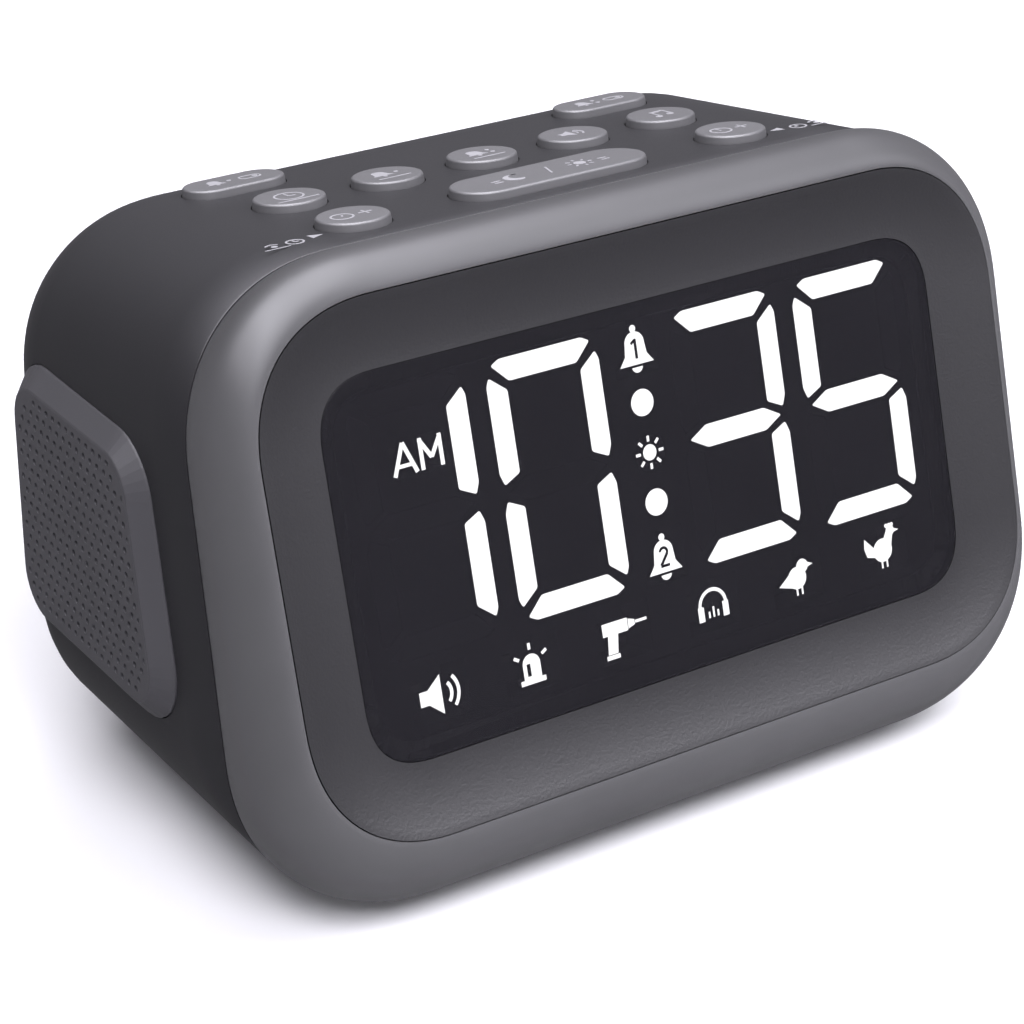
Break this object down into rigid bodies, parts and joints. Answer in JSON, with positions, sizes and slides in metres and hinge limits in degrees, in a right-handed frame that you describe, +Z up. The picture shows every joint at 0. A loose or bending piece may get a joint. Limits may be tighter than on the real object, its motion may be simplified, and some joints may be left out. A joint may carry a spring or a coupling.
{
  "type": "digital bedside alarm clock",
  "caption": "Bedside digital alarm clock: satin charcoal case, convex bezel ring, leaning dark window with white digits, ten push buttons on top, loudspeaker grille on the left.",
  "frame": {"origin": "On the table under the middle of the body.", "axes": "+X to the right as seen from the front, +Y to the rear, +Z up; the display faces -Y."},
  "size_m": [0.131, 0.089, 0.0882],
  "materials": {
    "case_plastic": "satin charcoal moulding with a fine grain",
    "ring_plastic": "satin mid-grey metallic-look moulding, softly glossy",
    "frame_plastic": "fine-grained dark charcoal moulding",
    "smoked_window": "smoked see-through plastic window, satin front",
    "lit_diffuser": "milky diffuser, lit white",
    "unlit_diffuser": "tinted diffuser, unlit",
    "black_plastic": "black moulding",
    "led_body": "clear yellowish package",
    "circuit_board": "green solder mask",
    "screw_steel": "zinc-plated steel",
    "button_plastic": "satin light grey moulding with a lighter rounded rim",
    "grille_plastic": "satin grey moulding",
    "black_cloth": "thin black acoustic cloth",
    "black_rubber": "matt black",
    "basket_steel": "pressed steel",
    "cone_paper": "black pressed paper",
    "magnet_ferrite": "matt dark ferrite",
    "plated_metal": "nickel-plated",
    "capacitor_sleeve": "dark blue shrink sleeve",
    "cell_sleeve": "plain grey sleeve",
    "ribbon_sleeve": "grey ribbon insulation",
    "lead_sleeve": "red insulation"
  },
  "bodies": {
    "case": {"housing": "case_plastic", "front_bezel": "ring_plastic", "front_frame": "frame_plastic", "display_window": "smoked_window", "display_lit": "lit_diffuser", "display_unlit": "unlit_diffuser", "display_reflector": "black_plastic", "display_leds": "led_body", "display_board": "circuit_board", "display_screws": "screw_steel", "button_switches": "black_plastic", "button_board": "circuit_board", "button_screws": "screw_steel", "speaker_grille": "grille_plastic", "grille_cloth": "black_cloth", "speaker_gasket": "black_rubber", "speaker_basket": "basket_steel", "speaker_surround": "black_rubber", "speaker_cone": "cone_paper", "speaker_dust_cap": "cone_paper", "speaker_magnet": "magnet_ferrite", "speaker_screws": "screw_steel", "main_board": "circuit_board", "main_chip": "black_plastic", "clock_crystal": "plated_metal", "board_capacitors": "capacitor_sleeve", "board_screws": "screw_steel", "battery_box": "black_plastic", "battery_cells": "cell_sleeve", "battery_springs": "plated_metal", "battery_plates": "plated_metal", "power_inlet": "black_plastic", "inlet_pin": "plated_metal", "case_screws": "screw_steel", "rubber_feet": "black_rubber", "display_ribbon": "ribbon_sleeve", "button_ribbon": "ribbon_sleeve", "speaker_lead": "lead_sleeve"},
    "snooze_button": {"snooze_button": "button_plastic"},
    "hour_button": {"hour_button": "button_plastic"},
    "minute_button": {"minute_button": "button_plastic"},
    "time_set_button": {"time_set_button": "button_plastic"},
    "alarm_1_set_button": {"alarm_1_set_button": "button_plastic"},
    "alarm_2_set_button": {"alarm_2_set_button": "button_plastic"},
    "volume_button": {"volume_button": "button_plastic"},
    "sound_button": {"sound_button": "button_plastic"},
    "alarm_1_button": {"alarm_1_button": "button_plastic"},
    "alarm_2_button": {"alarm_2_button": "button_plastic"},
    "battery_door": {"battery_door": "case_plastic"}
  },
  "joints": [
    {"name": "snooze_press", "type": "slide", "parent": "case", "child": "snooze_button", "axis": [0, -0.1311, -0.9914], "range_m": [0, 0.0006], "stiffness_N_per_m": 600, "springref_m": -0.0012},
    {"name": "hour_press", "type": "slide", "parent": "case", "child": "hour_button", "axis": [0, -0.1311, -0.9914], "range_m": [0, 0.0006], "stiffness_N_per_m": 600, "springref_m": -0.0012},
    {"name": "minute_press", "type": "slide", "parent": "case", "child": "minute_button", "axis": [0, -0.1311, -0.9914], "range_m": [0, 0.0006], "stiffness_N_per_m": 600, "springref_m": -0.0012},
    {"name": "time_set_press", "type": "slide", "parent": "case", "child": "time_set_button", "axis": [0, -0.1311, -0.9914], "range_m": [0, 0.0006], "stiffness_N_per_m": 600, "springref_m": -0.0012},
    {"name": "alarm_1_set_press", "type": "slide", "parent": "case", "child": "alarm_1_set_button", "axis": [0, -0.1311, -0.9914], "range_m": [0, 0.0006], "stiffness_N_per_m": 600, "springref_m": -0.0012},
    {"name": "alarm_2_set_press", "type": "slide", "parent": "case", "child": "alarm_2_set_button", "axis": [0, -0.1311, -0.9914], "range_m": [0, 0.0006], "stiffness_N_per_m": 600, "springref_m": -0.0012},
    {"name": "volume_press", "type": "slide", "parent": "case", "child": "volume_button", "axis": [0, -0.1311, -0.9914], "range_m": [0, 0.0006], "stiffness_N_per_m": 600, "springref_m": -0.0012},
    {"name": "sound_press", "type": "slide", "parent": "case", "child": "sound_button", "axis": [0, -0.1311, -0.9914], "range_m": [0, 0.0006], "stiffness_N_per_m": 600, "springref_m": -0.0012},
    {"name": "alarm_1_press", "type": "slide", "parent": "case", "child": "alarm_1_button", "axis": [0, -0.1311, -0.9914], "range_m": [0, 0.0006], "stiffness_N_per_m": 600, "springref_m": -0.0012},
    {"name": "alarm_2_press", "type": "slide", "parent": "case", "child": "alarm_2_button", "axis": [0, -0.1311, -0.9914], "range_m": [0, 0.0006], "stiffness_N_per_m": 600, "springref_m": -0.0012},
    {"name": "battery_door_hinge", "type": "hinge", "parent": "case", "child": "battery_door", "pos_m": [0.009, 0.04369, 0.0226], "axis": [-1, 0, 0], "range_deg": [0, 70]}
  ]
}
